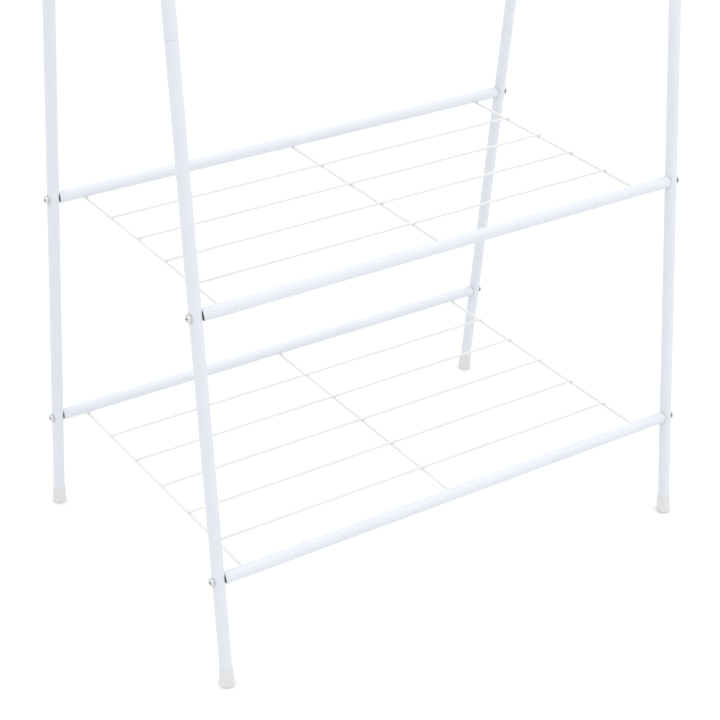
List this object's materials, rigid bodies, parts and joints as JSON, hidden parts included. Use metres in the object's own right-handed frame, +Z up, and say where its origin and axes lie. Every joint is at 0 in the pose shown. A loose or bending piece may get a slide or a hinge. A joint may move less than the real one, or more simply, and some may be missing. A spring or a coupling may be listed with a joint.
{
  "type": "garment rail",
  "caption": "White steel-tube A-frame garment rail with a hanging rail on top and wire shelves near the floor.",
  "frame": {"origin": "on the floor, in the middle between the feet", "axes": "+X along the hanging rail, +Y from the front legs to the back legs, +Z up"},
  "size_m": [0.5906, 0.3992, 1.4999],
  "materials": {
    "white_powder_coat": "white powder coat, satin",
    "white_wire_coat": "white powder coat on drawn wire, satin",
    "zinc_screws": "bright zinc plate",
    "foot_plastic": "moulded, translucent grey-white, satin",
    "plug_plastic": "moulded, black, matt"
  },
  "bodies": {
    "root": {"foot_cap_back_left": "foot_plastic", "foot_cap_back_right": "foot_plastic", "foot_cap_front_left": "foot_plastic", "foot_cap_front_right": "foot_plastic", "hanging_plug_left": "plug_plastic", "hanging_plug_right": "plug_plastic", "hanging_rail": "white_powder_coat", "hanging_rail_screws": "zinc_screws", "lower_leg_back_left": "white_powder_coat", "lower_leg_back_right": "white_powder_coat", "lower_leg_front_left": "white_powder_coat", "lower_leg_front_right": "white_powder_coat", "lower_shelf_cross_wire_left": "white_wire_coat", "lower_shelf_cross_wire_middle": "white_wire_coat", "lower_shelf_cross_wire_right": "white_wire_coat", "lower_shelf_long_wire_1": "white_wire_coat", "lower_shelf_long_wire_2": "white_wire_coat", "lower_shelf_long_wire_3": "white_wire_coat", "lower_shelf_long_wire_4": "white_wire_coat", "lower_shelf_long_wire_5": "white_wire_coat", "lower_shelf_plug_back_left": "plug_plastic", "lower_shelf_plug_back_right": "plug_plastic", "lower_shelf_plug_front_left": "plug_plastic", "lower_shelf_plug_front_right": "plug_plastic", "lower_shelf_rail_back": "white_powder_coat", "lower_shelf_rail_front": "white_powder_coat", "shelf_screws": "zinc_screws", "top_bend_left": "white_powder_coat", "top_bend_right": "white_powder_coat", "upper_leg_back_left": "white_powder_coat", "upper_leg_back_right": "white_powder_coat", "upper_leg_front_left": "white_powder_coat", "upper_leg_front_right": "white_powder_coat", "upper_shelf_cross_wire_left": "white_wire_coat", "upper_shelf_cross_wire_middle": "white_wire_coat", "upper_shelf_cross_wire_right": "white_wire_coat", "upper_shelf_long_wire_1": "white_wire_coat", "upper_shelf_long_wire_2": "white_wire_coat", "upper_shelf_long_wire_3": "white_wire_coat", "upper_shelf_long_wire_4": "white_wire_coat", "upper_shelf_plug_back_left": "plug_plastic", "upper_shelf_plug_back_right": "plug_plastic", "upper_shelf_plug_front_left": "plug_plastic", "upper_shelf_plug_front_right": "plug_plastic", "upper_shelf_rail_back": "white_powder_coat", "upper_shelf_rail_front": "white_powder_coat"}
  },
  "joints": []
}
